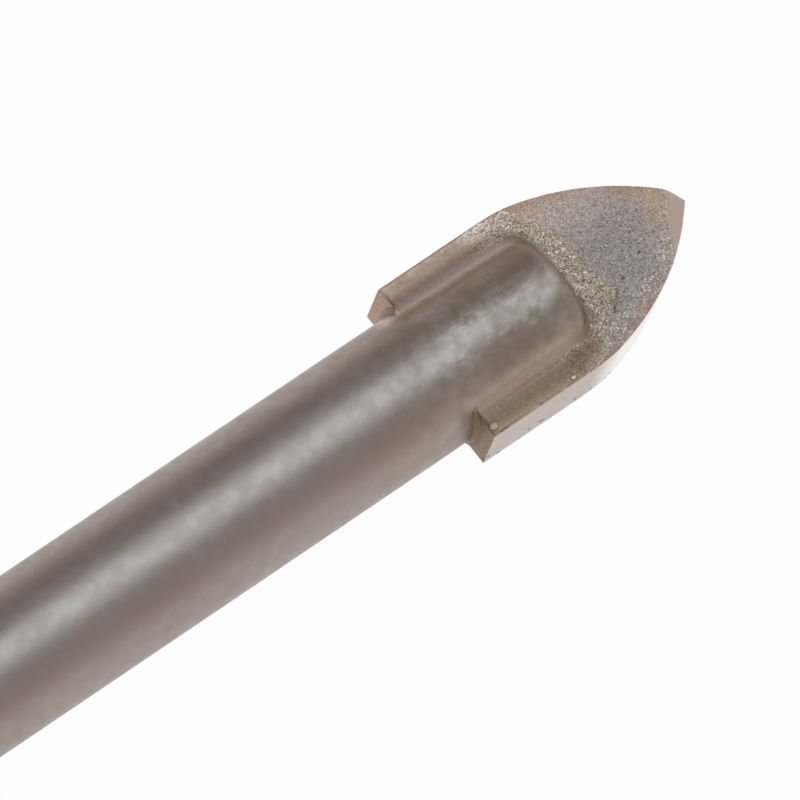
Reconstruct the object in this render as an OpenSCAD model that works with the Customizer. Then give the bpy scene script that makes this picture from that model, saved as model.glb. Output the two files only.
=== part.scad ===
// Glass and tile drill bit: a round steel shank, slotted at its nose, with a spear-point carbide plate
// brazed into the slot. The bit lies along X with its point towards +X. The origin is on the axis, at the
// rear end of the shank, and the flat of the plate is level. All sizes are in millimetres.

/* [Shank] */
// Diameter of the round steel shank
shank_diameter = 4.7; // [4.2:0.1:5.4]
// Length of the steel, from its rear end to the flat of its nose
shank_length = 64.7; // [40:0.05:120]
// Bevel round the rear end
rear_bevel = 0.4; // [0.1:0.1:0.8]
// Rounding of the rim of the nose
nose_round = 0.6; // [0.2:0.05:0.8]
// How much smaller in radius the slotted nose is ground than the shank
nose_relief = 0.06; // [0:0.01:0.15]

/* [Carbide tip] */
// Width of the plate, which is the diameter of the hole that it drills
tip_width = 6; // [5.5:0.1:7]
// Thickness of the plate
tip_thickness = 2.3; // [1.2:0.1:2.6]
// How far the point reaches ahead of the steel
point_reach = 5.3; // [4:0.05:7]
// Depth to which the plate is let into the steel
seat_depth = 4.9; // [3:0.05:8]
// Radius of the two arcs that run from the sides to the point
point_arc = 9.4; // [7:0.1:12]
// How far the arcs would bulge past the sides, had the sides not been ground to width
arc_overrun = 0.1; // [0:0.02:0.2]

/* [Point grind] */
// Distance back from the point, along the axis, at which each relief facet begins
relief_setback = 0.83; // [0.3:0.01:1.2]
// Slope of a relief facet below the flat of the plate, in degrees
relief_slope = 40; // [25:1:55]
// Turn of the facet's back edge from square to the axis, in degrees
relief_skew = 32; // [10:1:45]

/* [Braze] */
// Thickness of the braze between plate and steel, and where it has run out over the plate
braze_film = 0.1; // [0.05:0.01:0.2]
// Width of the braze fillet round the nose
braze_fillet = 0.35; // [0.15:0.05:0.5]
// Slope of the fillet, in degrees
braze_slope = 28; // [20:1:30]
// How far the braze has run out ahead of the nose
braze_reach = 1.3; // [0.7:0.1:2]
// Radius of the front edge of the run-out
braze_front_arc = 3.4; // [3.1:0.1:5]
// Bare land left between the run-out and the edges of the plate
braze_margin = 0.15; // [0.05:0.05:0.4]

/* [Hidden] */
$fn = 96;
steel_colour = "#8b8278";
carbide_colour = "#7d7674";
braze_colour = "#a3936f";

shank_radius = shank_diameter / 2;
nose_radius = shank_radius - nose_relief;
half_width = tip_width / 2;
half_thickness = tip_thickness / 2;
point_x = shank_length + point_reach;
plate_rear_x = shank_length - seat_depth;
slot_floor_x = plate_rear_x - braze_film;
slot_half = half_thickness + braze_film;
// The nose is ground from just behind the slot
nose_start_x = slot_floor_x - tip_thickness / 4;
// The arcs are widest just behind the soft corners at which they meet the ground sides
arc_centre_y = point_arc - half_width - arc_overrun;
arc_centre_x = point_x - sqrt(pow(point_arc, 2) - pow(arc_centre_y, 2));
// Foot of the braze fillet, from where the steel rises out of the braze
foot_half = sqrt(pow(nose_radius, 2) - pow(slot_half, 2)) + braze_fillet;
foot_round = nose_round + braze_fillet;
mound_height = foot_round * tan(braze_slope);
// A cutter larger than any piece that it trims
cutter = 3 * tip_width;

// Solid of revolution along +X from a profile drawn as (radius, distance from the rear end)
module turned() {
    rotate([0, 90, 0]) mirror([1, 0, 0]) rotate_extrude() children();
}

// The rod before the slot is cut: bevelled rear end, plain shank, ground nose with a rounded rim
module rod() {
    rim_y = nose_radius - nose_round;
    rim_x = shank_length - nose_round;
    turned() {
        polygon([
            [0, 0],
            [shank_radius - rear_bevel, 0],
            [shank_radius, rear_bevel],
            [shank_radius, nose_start_x],
            [nose_radius, rim_x],
            [rim_y, rim_x],
            [rim_y, shank_length],
            [0, shank_length]
        ]);
        translate([rim_y, rim_x]) circle(nose_round);
    }
}

// Space of the slot, open at the nose and on both sides
module slot_space() {
    translate([slot_floor_x, -cutter / 2, -slot_half]) cube([cutter, cutter, 2 * slot_half]);
}

// Outline of the plate drawn inwards by a margin: parallel sides that meet the two point arcs
module plate_outline(margin = 0) {
    inner_half = half_width - margin;
    rear_x = plate_rear_x + margin;
    intersection() {
        translate([rear_x, -inner_half]) square([point_x - rear_x, 2 * inner_half]);
        union() {
            translate([rear_x, -inner_half]) square([arc_centre_x - rear_x, 2 * inner_half]);
            intersection() {
                translate([arc_centre_x, arc_centre_y]) circle(point_arc - margin);
                translate([arc_centre_x, -arc_centre_y]) circle(point_arc - margin);
            }
        }
    }
}

// Everything above one relief facet: it falls away towards the point, on the trailing side
module relief_cut() {
    translate([point_x - relief_setback, 0, half_thickness])
        rotate([0, relief_slope, -relief_skew])
            translate([-cutter / 2, -cutter / 2, 0])
                cube(cutter);
}

// The same feature on both flats of the plate, a half turn apart about the axis
module both_flats() {
    for (turn = [0, 180]) rotate([turn, 0, 0]) children();
}

// Outline of the braze on a flat of the plate: bare near the edges, with a bowed front ahead of the nose
module run_out_outline() {
    front_centre_x = shank_length + braze_reach - braze_front_arc;
    intersection() {
        plate_outline(braze_margin);
        union() {
            translate([front_centre_x, 0]) circle(braze_front_arc);
            translate([plate_rear_x, -half_width]) square([front_centre_x - plate_rear_x, tip_width]);
        }
    }
}

// Mound of braze with evenly sloping sides, whose foot lies outside the nose
module mound() {
    side_y = foot_half - foot_round;
    front_x = shank_length + braze_fillet;
    corner_x = front_x - foot_round;
    rear_x = plate_rear_x + braze_fillet;
    translate([rear_x, 0, 0])
        rotate([90, 0, 90])
            linear_extrude(height = corner_x - rear_x)
                polygon([[-foot_half, 0], [foot_half, 0], [side_y, mound_height], [-side_y, mound_height]]);
    rotate([90, 0, 0])
        linear_extrude(height = 2 * side_y, center = true)
            polygon([[rear_x, 0], [front_x, 0], [corner_x, mound_height], [rear_x, mound_height]]);
    for (side = [-side_y, side_y])
        translate([corner_x, side, 0])
            cylinder(h = mound_height, r1 = foot_round, r2 = 0);
}

// Fillet of braze between the steel and one flat of the plate
module fillet() {
    difference() {
        translate([0, 0, half_thickness + braze_film / 2]) mound();
        rod();
    }
}

// Slotted steel rod
module shank() {
    color(steel_colour)
        difference() {
            rod();
            slot_space();
        }
}

// Spear-point plate with a relief facet on each flat
module carbide_tip() {
    color(carbide_colour)
        difference() {
            translate([0, 0, -half_thickness]) linear_extrude(height = tip_thickness) plate_outline();
            both_flats() relief_cut();
        }
}

// Braze that fills the slot round the plate, stands in a fillet and has run out over both flats
module braze() {
    color(braze_colour) {
        difference() {
            intersection() {
                rod();
                slot_space();
            }
            translate([plate_rear_x, -cutter / 2, -half_thickness]) cube([cutter, cutter, tip_thickness]);
        }
        both_flats() {
            translate([0, 0, half_thickness]) linear_extrude(height = braze_film) run_out_outline();
            fillet();
        }
    }
}

shank();
carbide_tip();
braze();
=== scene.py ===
# %% [markdown]
# # A glass and tile drill bit
# The real tool is three things made into one: a steel rod with a sawn slot in its nose, a spear-shaped
# plate of tungsten carbide that sits in the slot, and the brazing alloy that holds it there. The solids
# of all three are loaded as a fixed frame. This lesson gives each one the surface that the workshop left
# on it: blasted steel, grainy carbide with ground edges, and a rough, glittering run of braze.

import math

import bpy
import numpy as np
from mathutils import Matrix, Vector


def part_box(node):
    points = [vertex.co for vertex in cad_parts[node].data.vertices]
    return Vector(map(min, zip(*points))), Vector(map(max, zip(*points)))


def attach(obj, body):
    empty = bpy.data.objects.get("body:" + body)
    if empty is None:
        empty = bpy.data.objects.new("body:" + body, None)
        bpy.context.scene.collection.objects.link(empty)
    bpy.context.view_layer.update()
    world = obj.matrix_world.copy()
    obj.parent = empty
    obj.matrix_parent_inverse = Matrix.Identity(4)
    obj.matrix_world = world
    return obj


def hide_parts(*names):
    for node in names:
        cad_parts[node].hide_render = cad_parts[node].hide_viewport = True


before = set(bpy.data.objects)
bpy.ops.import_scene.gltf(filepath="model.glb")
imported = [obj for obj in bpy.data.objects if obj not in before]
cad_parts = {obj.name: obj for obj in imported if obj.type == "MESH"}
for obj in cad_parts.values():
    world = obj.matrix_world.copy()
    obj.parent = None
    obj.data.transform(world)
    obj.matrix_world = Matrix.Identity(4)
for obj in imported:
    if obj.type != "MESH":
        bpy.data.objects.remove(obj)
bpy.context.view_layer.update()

# %% [markdown]
# ## Sizes
# The drill lies along X with its point towards +X, and its axis is the X axis. Blender works in metres,
# but a drill is easier to think about in millimetres, so its sizes are in millimetres here and are turned
# into metres when a mesh is made. Only the floor and the lights are in metres. Places come from the boxes
# of the solids. The few sizes that a box can't give, such as the radius of the point's arcs, are repeated
# from the solid model.

# %% Read the sizes
MM = 0.001


def box_mm(node):
    low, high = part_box(node)
    return np.array(low) / MM, np.array(high) / MM


shank_low, shank_high = box_mm("shank")
plate_low, plate_high = box_mm("carbide_tip")
braze_low, braze_high = box_mm("braze")

NOSE_X = shank_high[0]
SHANK_RADIUS = min(shank_high[1], -shank_low[2])
PLATE_REAR_X = plate_low[0]
POINT_X = plate_high[0]
HALF_WIDTH = plate_high[1]
HALF_THICKNESS = plate_high[2]
SLOT_FLOOR_X = braze_low[0]
BRAZE_FILM = PLATE_REAR_X - SLOT_FLOOR_X
SLOT_HALF = HALF_THICKNESS + BRAZE_FILM

REAR_BEVEL = 0.4
NOSE_ROUND = 0.6
NOSE_RELIEF = 0.06
NOSE_START_X = SLOT_FLOOR_X - HALF_THICKNESS / 2
POINT_ARC = 9.4
ARC_OVERRUN = 0.1
ARC_CENTRE_Y = POINT_ARC - HALF_WIDTH - ARC_OVERRUN
ARC_CENTRE_X = POINT_X - math.sqrt(POINT_ARC**2 - ARC_CENTRE_Y**2)
RELIEF_SETBACK = 0.83
RELIEF_SLOPE = math.radians(40)
RELIEF_SKEW = math.radians(32)
print("point at %.2f mm, nose at %.2f mm, plate from %.2f mm" % (POINT_X, NOSE_X, PLATE_REAR_X))

# %% [markdown]
# ## Repeatable randomness
# Chips, grains and stains are random on the real drill, but the script has to make the same drill each
# time. Instead of a stream of random numbers, each place gets its own number, worked out from where it
# is. Two kinds of pattern are enough: smooth hills for uneven surfaces, and rounded grains packed side by
# side for the braze.

# %% Patterns that depend only on the place
COLUMN_FACTOR = 374761393
ROW_FACTOR = 668265263
SEED_FACTOR = 974634541
MIX_FACTOR = 1274126177
LOW_32_BITS = 0xFFFFFFFF
LOW_24_BITS = 0xFFFFFF
FARTHEST_GRAIN = 9.0
LOWEST_GRAIN = 0.35


def rising(values, start, width):
    """0 up to the start, 1 from a width further on, and an even rise in between."""
    return np.clip((values - start) / width, 0, 1)


def eased(share):
    """A share from 0 to 1 with soft ends."""
    return share * share * (3 - 2 * share)


def hashed(column, row, seed):
    """A number from 0 to 1 for each cell of a grid."""
    mixed = (column * COLUMN_FACTOR + row * ROW_FACTOR + seed * SEED_FACTOR) & LOW_32_BITS
    mixed = ((mixed ^ (mixed >> 13)) * MIX_FACTOR) & LOW_32_BITS
    return ((mixed ^ (mixed >> 16)) & LOW_24_BITS) / LOW_24_BITS


def cells(values, size):
    """The cell that each value is in, and how far along that cell it is."""
    scaled = values / size
    cell = np.floor(scaled).astype(np.int64)
    return cell, scaled - cell


def hills(x, y, size, seed):
    """Smooth hills from -1 to 1, about one size apart."""
    column, across = cells(x, size)
    row, up = cells(y, size)
    across = eased(across)
    up = eased(up)
    low = hashed(column, row, seed) * (1 - across) + hashed(column + 1, row, seed) * across
    high = hashed(column, row + 1, seed) * (1 - across) + hashed(column + 1, row + 1, seed) * across
    return 2 * (low * (1 - up) + high * up) - 1


def grains(x, y, size, seed):
    """Rounded grains of mixed heights packed side by side, from 0 between them to 1 on the tallest."""
    column, across = cells(x, size)
    row, up = cells(y, size)
    nearest = np.full(np.shape(x), FARTHEST_GRAIN)
    height = np.zeros(np.shape(x))
    for step_x in (-1, 0, 1):
        for step_y in (-1, 0, 1):
            seat_x = step_x + hashed(column + step_x, row + step_y, seed)
            seat_y = step_y + hashed(column + step_x, row + step_y, seed + 1)
            away = (seat_x - across) ** 2 + (seat_y - up) ** 2
            closer = away < nearest
            nearest = np.where(closer, away, nearest)
            height = np.where(closer, hashed(column + step_x, row + step_y, seed + 2), height)
    return np.clip(1 - nearest, 0, 1) * (LOWEST_GRAIN + (1 - LOWEST_GRAIN) * height)


print("hills at the point: %.3f" % hills(np.array([POINT_X]), np.array([0.0]), 0.5, 1)[0])

# %% [markdown]
# ## Making a mesh
# Nearly every surface here is a grid of points bent into shape, so a few helpers do all the mesh work.
# They number the four-sided faces of a grid, turn points in millimetres into a Blender object, ride it on
# the drill's only body and hide the solid that it stands for. Edges sharper than a set angle stay crisp.

# %% Mesh helpers
SHARP_ANGLE = math.radians(35)
BOX_FACES = [(0, 1, 3, 2), (4, 6, 7, 5), (0, 4, 5, 1), (2, 3, 7, 6), (0, 2, 6, 4), (1, 5, 7, 3)]


def grid_faces(numbers, flip=False):
    """The four-sided faces of a grid of point numbers."""
    corners = [numbers[:-1, :-1], numbers[1:, :-1], numbers[1:, 1:], numbers[:-1, 1:]]
    if flip:
        corners.reverse()
    return np.stack([corner.ravel() for corner in corners], axis=1)


def tube_faces(numbers, flip=False):
    """The faces of a grid whose last column is joined to its first."""
    return grid_faces(np.concatenate([numbers, numbers[:, :1]], axis=1), flip)


def box_points(low, high):
    """The corners of a box, in the order that its faces expect."""
    return [(x, y, z) for x in (low[0], high[0]) for y in (low[1], high[1]) for z in (low[2], high[2])]


def new_piece(name, points, faces):
    mesh = bpy.data.meshes.new(name)
    mesh.from_pydata((np.asarray(points) * MM).tolist(), [], [list(face) for face in faces])
    mesh.update()
    piece = bpy.data.objects.new(name, mesh)
    bpy.context.scene.collection.objects.link(piece)
    return piece


def store_numbers(piece, name, values):
    """Keeps one number for each point of a mesh, for its material to read."""
    store = piece.data.attributes.new(name, "FLOAT", "POINT")
    store.data.foreach_set("value", np.asarray(values, dtype=np.float32))


def shade_smooth(piece, sharp_angle=SHARP_ANGLE):
    piece.data.shade_smooth()
    piece.data.set_sharp_from_angle(angle=sharp_angle)


def stand_in(piece, node):
    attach(piece, "root")
    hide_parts(node)
    print(piece.name, "has", len(piece.data.polygons), "faces")


print("edges sharper than %.0f degrees stay crisp" % math.degrees(SHARP_ANGLE))

# %% [markdown]
# ## The steel shank
# A lathe turns the rod, so its mesh is turned too: one profile from the rear bevel to the rounded rim of
# the nose, swept round the axis. The rings are close together at the nose, where blasting and brazing
# heat have left the surface a little uneven, and far apart on the plain shank. The slot is cut with a
# boolean, as a saw would cut it.

# %% Turn the shank
AROUND = 192
PLAIN_RINGS = 40
RIM_RINGS = 14
FACE_RINGS = 8
FINE_BEHIND = 8
FINE_STEP = 0.1
NOSE_UNEVEN = 0.014
NOSE_HILLS = ((0.55, 11), (0.21, 12))
UNEVEN_LENGTH = 7
EVEN_RADIUS = 1.0


def nose_radius(x):
    """Radius of the rod, which is ground slightly smaller from just behind the slot."""
    return SHANK_RADIUS - NOSE_RELIEF * rising(x, NOSE_START_X, NOSE_X - NOSE_ROUND - NOSE_START_X)


def shank_profile():
    """Points (x, radius) from the rear end to the flat of the nose, without the two on the axis."""
    rear = [(0, (SHANK_RADIUS - REAR_BEVEL) / 2), (0, SHANK_RADIUS - REAR_BEVEL)]
    fine_x = NOSE_START_X - FINE_BEHIND
    plain = [(x, SHANK_RADIUS) for x in np.linspace(REAR_BEVEL, fine_x, PLAIN_RINGS)]
    steps = np.arange(fine_x + FINE_STEP, NOSE_X - NOSE_ROUND, FINE_STEP)
    ground = [(x, float(nose_radius(x))) for x in steps]
    rim_radius = float(nose_radius(NOSE_X)) - NOSE_ROUND
    turns = np.linspace(0, math.pi / 2, RIM_RINGS)
    rim = [(NOSE_X - NOSE_ROUND * (1 - math.sin(t)), rim_radius + NOSE_ROUND * math.cos(t)) for t in turns]
    face = [(NOSE_X, r) for r in np.linspace(rim_radius, 0, FACE_RINGS)[1:-1]]
    return np.array(rear + plain + ground + rim + face)


def turn_shank():
    profile = shank_profile()
    turns = np.linspace(0, 2 * math.pi, AROUND, endpoint=False)
    x = np.repeat(profile[:, :1], AROUND, axis=1)
    arc = turns[None, :] * SHANK_RADIUS
    near_nose = rising(x, NOSE_START_X - UNEVEN_LENGTH, UNEVEN_LENGTH)
    dents = sum(hills(x, arc, size, seed) for size, seed in NOSE_HILLS) - len(NOSE_HILLS)
    uneven = near_nose * NOSE_UNEVEN * dents / (2 * len(NOSE_HILLS))
    radius = profile[:, 1:] + np.where(profile[:, 1:] > EVEN_RADIUS, uneven, 0)
    points = np.stack([x, radius * np.cos(turns), radius * np.sin(turns)], axis=-1).reshape(-1, 3)
    numbers = np.arange(len(points)).reshape(len(profile), AROUND)
    ends = [numbers[0].tolist(), numbers[-1][::-1].tolist()]
    return new_piece("blasted_shank", points, tube_faces(numbers).tolist() + ends)


def cut_slot(piece):
    size = 2 * SHANK_RADIUS
    low = (SLOT_FLOOR_X, -size, -SLOT_HALF)
    high = (SLOT_FLOOR_X + 2 * size, size, SLOT_HALF)
    saw = new_piece("saw_cut", box_points(low, high), BOX_FACES)
    cut = piece.modifiers.new("slot", "BOOLEAN")
    cut.object = saw
    cut.operation = "DIFFERENCE"
    cut.solver = "EXACT"
    shape = bpy.data.meshes.new_from_object(piece.evaluated_get(bpy.context.evaluated_depsgraph_get()))
    piece.modifiers.clear()
    piece.data = shape
    bpy.data.objects.remove(saw)


shank = turn_shank()
cut_slot(shank)
shade_smooth(shank)
stand_in(shank, "shank")

# %% [markdown]
# ## The outline of the carbide plate
# The plate is pressed and sintered, blasted on its flats and ground on its edges. Two arcs run to the
# point, where a relief facet falls away from each flat. Ground carbide keeps no true corner, so all edges
# are slightly rounded. Each of these is a small function of the place, which both flats and the braze on
# them share.

# %% Outline and edges of a flat
EDGE_ROUND = 0.03
CORNER_BLEND = ARC_OVERRUN
REAR_SOFTNESS = 0.4


def soft_min(first, second, blend_width):
    """The lower of two heights, with the crease between them rounded."""
    near = np.clip(blend_width - np.abs(first - second), 0, None) / blend_width
    return np.minimum(first, second) - near**2 * blend_width / 4


def plate_half_width(x):
    """Half the width of the plate, whose ground sides meet the point's arcs in soft corners."""
    past = np.maximum(x - ARC_CENTRE_X, 0)
    return soft_min(np.sqrt(POINT_ARC**2 - past**2) - ARC_CENTRE_Y, HALF_WIDTH, CORNER_BLEND)


def facet_fall(x, y):
    """How far a place is past the back edge of the relief facet, towards the point."""
    return (x - (POINT_X - RELIEF_SETBACK)) * math.cos(RELIEF_SKEW) - y * math.sin(RELIEF_SKEW)


def edge_gap(x, y):
    """Distance from the edges of a flat, shortened at the rear edge, which is softer."""
    return np.minimum(plate_half_width(x) - np.abs(y), (x - PLATE_REAR_X) * REAR_SOFTNESS)


def edge_drop(x, y):
    """How far the rounded edges fall below the flat."""
    past = np.clip(EDGE_ROUND - edge_gap(x, y), 0, EDGE_ROUND)
    return EDGE_ROUND - np.sqrt(EDGE_ROUND**2 - past**2)


print("the arcs begin at %.2f mm" % ARC_CENTRE_X)

# %% [markdown]
# ## Wear on the flats
# Carbide is brittle, so its edges always show small chips. The upper flat also has two pits, a broken
# groove and three orange heat stains, at places measured back from the point. Marks and stains are shares
# from 0 to 1, so that the material can colour them too.

# %% Chips, marks and stains
CHIP_PITCH = 0.2
CHIP_DEPTH = 0.05
CHIP_QUIET = 0.55
CHIP_SPREAD = 2
SIDES_APART = 50
REAR_REACH = 0.01
TINY = 1e-9
PITS = [(2.53, -0.67, 0.045), (3.54, -1.07, 0.05)]
GROOVE = [(3.87, -1.25), (4.21, -1.58), (4.52, -1.88)]
GROOVE_WIDTH = 0.04
GROOVE_SHARE = 0.55
GROOVE_BREAKS = 0.6
GROOVE_PATCH = 0.14
GROOVE_SEED = 5
MARK_DEPTH = 0.04
TINTS = [(0.98, 0.57, 0.3), (3.77, 2.4, 0.2), (4.53, 2.32, 0.25)]
FLAT_HILLS = ((0.002, 0.16), (0.0015, 0.45))
FACET_BLEND = 0.01


def chips(x, y, seed):
    """How deep the edge is chipped at each place along it."""
    run = x + np.sign(y) * SIDES_APART + y * (x < PLATE_REAR_X + REAR_REACH)
    cell, share = cells(run, CHIP_PITCH)
    depth = np.clip(hashed(cell, cell * 0, seed) - CHIP_QUIET, 0, None) / (1 - CHIP_QUIET)
    return CHIP_DEPTH * depth**2 * (1 - (2 * share - 1) ** 2)


def segment_gap(x, y, start, end):
    """Distance from each place to a straight line between two others."""
    run = np.subtract(end, start)
    share = np.clip(((x - start[0]) * run[0] + (y - start[1]) * run[1]) / (run @ run), 0, 1)
    return np.hypot(x - start[0] - share * run[0], y - start[1] - share * run[1])


def spot(x, y, middle):
    """A soft round spot from 1 to 0, with its middle given as a distance behind the point and a y."""
    behind, middle_y, reach = middle
    return np.exp(-((POINT_X - x - behind) ** 2 + (y - middle_y) ** 2) / reach**2)


def marks(x, y):
    """Pits and a broken groove in the upper flat, from 0 to 1."""
    deepest = np.zeros(np.shape(x))
    for start, end in zip(GROOVE, GROOVE[1:]):
        away = segment_gap(POINT_X - x, y, start, end)
        deepest = np.maximum(deepest, np.exp(-((away / GROOVE_WIDTH) ** 2)))
    deepest = deepest * GROOVE_SHARE * (1 + GROOVE_BREAKS * hills(x, y, GROOVE_PATCH, GROOVE_SEED))
    for pit in PITS:
        deepest = np.maximum(deepest, spot(x, y, pit))
    return deepest


def tints(x, y):
    """Orange heat stains on the upper flat, from 0 to 1."""
    return np.max([spot(x, y, tint) for tint in TINTS], axis=0)


def flat_height(x, y, seed, marked):
    """Height of a flat above the middle of the plate."""
    chip = chips(x, y, seed)
    chip_drop = chip * np.clip(1 - edge_gap(x, y) / (CHIP_SPREAD * chip + TINY), 0, 1)
    flat = HALF_THICKNESS
    for step, (height, size) in enumerate(FLAT_HILLS, 1):
        flat = flat - height * (1 + hills(x, y, size, seed + step))
    if marked:
        flat = flat - MARK_DEPTH * marks(x, y)
    facet = HALF_THICKNESS - facet_fall(x, y) * math.tan(RELIEF_SLOPE)
    return soft_min(flat, facet, FACET_BLEND) - edge_drop(x, y) - chip_drop


print(len(PITS), "pits and", len(TINTS), "heat stains")

# %% [markdown]
# ## Building the plate
# Both flats are grids of points across the plate, with close lines near the edges and close rows near the
# point. The lower flat has the upper one's shape turned by half a turn, with chips of its own. Walls join
# the two all round. Each face is numbered as ground or blasted, for two materials.

# %% Build the plate
EDGE_STEPS = np.array([0, 0.012, 0.03, 0.06, 0.1, 0.15])
MIDDLE_START = 0.2
SPACING = 0.055
FINE_LENGTH = 2.0
FINE_ROWS = 100
FINE_POWER = 0.9
TIP_WEAR = 0.012
NARROW_HALF = 0.45
PLATE_ACROSS = 121
WALL_ROWS = 22
UPPER_SEED = 21
LOWER_SEED = 31
# Width of the painted glints along the line of each relief facet.
FACET_GLINT_WIDTH = 0.1
# Dark specks on the wall rows next to the lower flat: painted shade in small chips.
SPECK_SHARE = 0.035
SPECK_ROWS = 5
SPECK_SEED = 91


def plate_grid():
    """Points of a flat seen from above: rows run across the plate, from its rear edge to the point."""
    length = POINT_X - PLATE_REAR_X
    middle = np.arange(MIDDLE_START, length - FINE_LENGTH - SPACING / 2, SPACING)
    fine = np.linspace(0, 1, FINE_ROWS) ** FINE_POWER * (FINE_LENGTH - TIP_WEAR)
    x = PLATE_REAR_X + np.concatenate([EDGE_STEPS, middle, length - FINE_LENGTH + fine])
    half = plate_half_width(x)[:, None]
    steps = EDGE_STEPS[None, :] * np.minimum(1, half / NARROW_HALF)
    inner = np.linspace(-1, 1, PLATE_ACROSS)[None, 1:-1] * (half - steps[:, -1:])
    y = np.concatenate([steps - half, inner, (half - steps)[:, ::-1]], axis=1)
    return np.repeat(x[:, None], y.shape[1], axis=1), y


def build_plate():
    """The plate, and for each of its faces 1 where it is ground and 0 where it is blasted."""
    x, y = plate_grid()
    upper = flat_height(x, y, UPPER_SEED, True)
    lower = -flat_height(x, -y, LOWER_SEED, False)
    count = x.size
    numbers = np.arange(count).reshape(x.shape)
    flats = [np.stack([x, y, z], axis=-1).reshape(-1, 3) for z in (upper, lower)]
    flat_faces = np.concatenate([grid_faces(numbers), grid_faces(numbers + count, flip=True)])
    rim = np.concatenate([numbers[:, 0], numbers[-1, 1:], numbers[-2::-1, -1], numbers[0, -2:0:-1]])
    share = np.linspace(0, 1, WALL_ROWS + 1)[1:-1, None, None]
    wall = flats[0][rim][None] * (1 - share) + flats[1][rim][None] * share
    inside = 2 * count + np.arange(wall.shape[0] * len(rim)).reshape(wall.shape[:2])
    wall_faces = tube_faces(np.concatenate([rim[None], inside, rim[None] + count]))
    points = np.concatenate(flats + [wall.reshape(-1, 3)])
    plate = new_piece("spear_plate", points, np.concatenate([flat_faces, wall_faces]))

    fall = np.concatenate([facet_fall(x, y).ravel(), facet_fall(x, -y).ravel()])
    ground_walls = np.ones((WALL_ROWS, len(rim)))
    ground_walls[:, 1 - x.shape[1] :] = 0
    ground = np.concatenate([fall[flat_faces].mean(axis=1) > 0, ground_walls.ravel()]).astype(np.int32)

    edge = np.minimum(plate_half_width(x) - np.abs(y), POINT_X - x).ravel()
    row, column = np.indices(wall.shape[:2])
    # dark specks as painted shade in small chips near the lower flat
    specks = (hashed(column // 2, row, SPECK_SEED) < SPECK_SHARE) & (row >= WALL_ROWS - SPECK_ROWS)
    # a share for painted glints along the line of each relief facet
    facet_glint = np.exp(-((fall / FACET_GLINT_WIDTH) ** 2))
    none_below = np.zeros(count)
    none_on_walls = np.zeros(wall.size // 3)
    store_numbers(plate, "edge_mm", np.concatenate([edge, edge, none_on_walls]))
    store_numbers(plate, "mark", np.concatenate([marks(x, y).ravel(), none_below, specks.ravel()]))
    store_numbers(plate, "facet_glint", np.concatenate([facet_glint, none_on_walls]))
    store_numbers(plate, "tint", np.concatenate([tints(x, y).ravel(), none_below, none_on_walls]))
    return plate, ground


plate, plate_ground = build_plate()
shade_smooth(plate)
stand_in(plate, "carbide_tip")

# %% [markdown]
# ## The shape of the braze
# Molten braze wets both metals: it fills the slot, climbs the steel in a hollow curve and runs out over
# the carbide until it freezes with a rough, granular skin. A soft minimum of two distances, one to the
# flat and one to the steel, gives exactly that hollow curve, so the height of the braze at each place is
# found by halving an interval until the curve is met. Grains are added on top. The front edge of the
# run-out was measured at a few places and joined up.

# %% Shape of the braze
BAND_FILM = 0.05
WING_FILM = 0.02
FEATHER = 0.35
RIM_FALL = 0.3
EDGE_FALL = 0.4
MENISCUS = 0.3
TOP_CLEARANCE = 0.005
MENISCUS_TOP = braze_high[2] - HALF_THICKNESS - TOP_CLEARANCE
STEEL_OVERLAP = 0.022
FRONT_Y = [-2.9, -2.69, -2.18, -1.8, -1.43, -1.09, -0.7, -0.37, -0.08, 0.33, 1.05, 1.64, 2.19, 2.61, 2.97]
FRONT_AHEAD = [-0.4, 0.07, 0.36, 0.84, 1.18, 1.34, 1.32, 1.15, 1.02, 1.16, 1.02, 0.86, 0.44, 0.23, -0.12]
FRONT_HILLS = ((0.05, 0.4), (0.04, 0.15))
RAGGED = 0.04
MARGIN_PATCH = 0.5
RIM_PATCH = 0.13
WING_MARGINS = (0.02, 0.05)
BAND_MARGIN = 0.09
BAND_BEHIND = 1.7
BAND_RISE = 1.3
BAND_LATER = 0.95
LATER_FROM = 0.8
LATER_RISE = 1.2
BRAZE_GRAINS = ((0.026, 0.1, 4), (0.016, 0.06, 7))
WING_GRAIN = 0.05
GRAIN_FEATHER = 0.25
CALM_EDGE = (0.05, 0.2)
SUNK = 0.02
REAR_DIP = 0.01
LOWEST_BRAZE = -0.1
HIGHEST_BRAZE = 1.2
HALVINGS = 22


def steel_gap(x, y, z):
    """Distance from a place to the steel nose, negative inside it."""
    along = x - (NOSE_X - NOSE_ROUND)
    across = np.hypot(y, z) - (nose_radius(x) - NOSE_ROUND)
    outside = np.hypot(np.maximum(along, 0), np.maximum(across, 0))
    return outside + np.minimum(np.maximum(along, across), 0) - NOSE_ROUND


def band_share(x, y):
    """0 on the wings beside the nose, 1 on the granular band ahead of it, which starts later on one side."""
    later = BAND_LATER * rising(-y, LATER_FROM, LATER_RISE)
    return eased(rising(x - later, NOSE_X - BAND_BEHIND, BAND_RISE))


def inside_rim(x, y, seed):
    """Distance from the rim of the run-out, negative outside it."""
    ahead = np.interp(y, FRONT_Y, FRONT_AHEAD)
    for step, (height, size) in enumerate(FRONT_HILLS):
        ahead = ahead + height * hills(y, y * 0, size, seed + step)
    wing_margin = np.where(y < 0, *WING_MARGINS) + RAGGED * hills(x, y, MARGIN_PATCH, seed + 2)
    margin = wing_margin + (BAND_MARGIN - wing_margin) * band_share(x, y)
    inside = np.minimum(NOSE_X + ahead - x, plate_half_width(x) - np.abs(y) - margin)
    return inside + RAGGED * hills(x, y, RIM_PATCH, seed + 3)


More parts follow.
